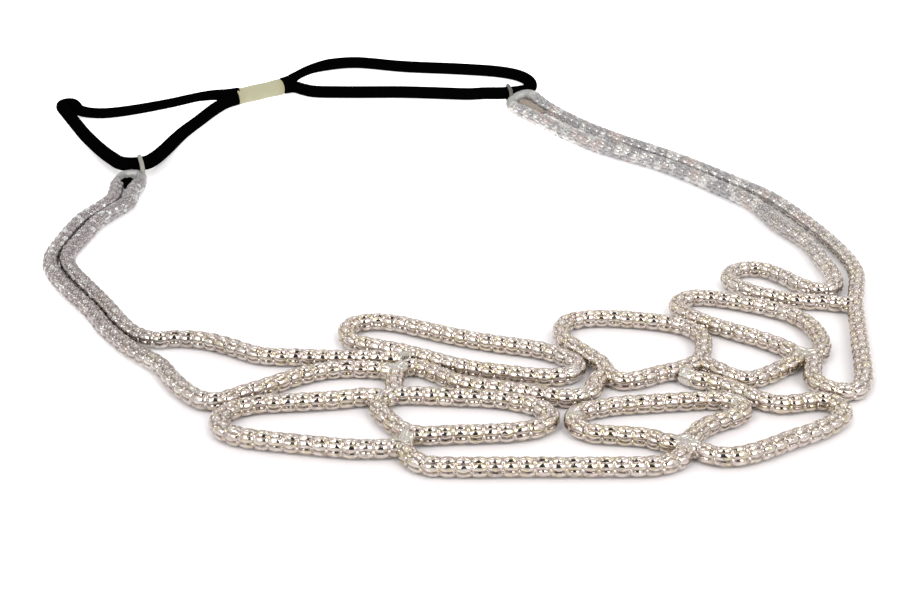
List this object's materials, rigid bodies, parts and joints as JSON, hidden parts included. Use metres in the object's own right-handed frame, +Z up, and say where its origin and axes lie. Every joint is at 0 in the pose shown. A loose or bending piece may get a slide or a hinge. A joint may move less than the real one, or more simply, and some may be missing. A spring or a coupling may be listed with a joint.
{
  "type": "bridal headband",
  "caption": "Headband of silver popcorn chain laid flat: an openwork front of tacked chain loops, two doubled straps and a black round elastic closed by a short cream sleeve.",
  "frame": {"origin": "middle of the box round the chains, rings and sleeve, on the table the headband lies on", "axes": "+Z up from the table, -Y to the openwork front, +X to the right of someone who faces the front"},
  "size_m": [0.1825, 0.2041, 0.0065],
  "materials": {
    "chain_metal": "bright silver plate with a champagne tint",
    "ring_wire": "pale satin wire",
    "elastic": "matt black braid",
    "sleeve": "soft cream"
  },
  "bodies": {
    "root": {"chain_left_inner": "chain_metal", "chain_left_outer": "chain_metal", "chain_right_inner": "chain_metal", "chain_right_outer": "chain_metal", "chain_upper_left": "chain_metal", "chain_upper_middle": "chain_metal", "chain_upper_right": "chain_metal", "chain_centre": "chain_metal", "chain_lower_right": "chain_metal", "chain_middle": "chain_metal", "chain_lower_left": "chain_metal", "chain_front": "chain_metal", "chain_right_front": "chain_metal", "chain_link": "chain_metal", "end_ring_left": "ring_wire", "end_ring_right": "ring_wire", "knot_left": "elastic", "knot_right": "elastic", "elastic_left": "elastic", "elastic_right": "elastic", "sleeve": "sleeve"}
  },
  "joints": []
}
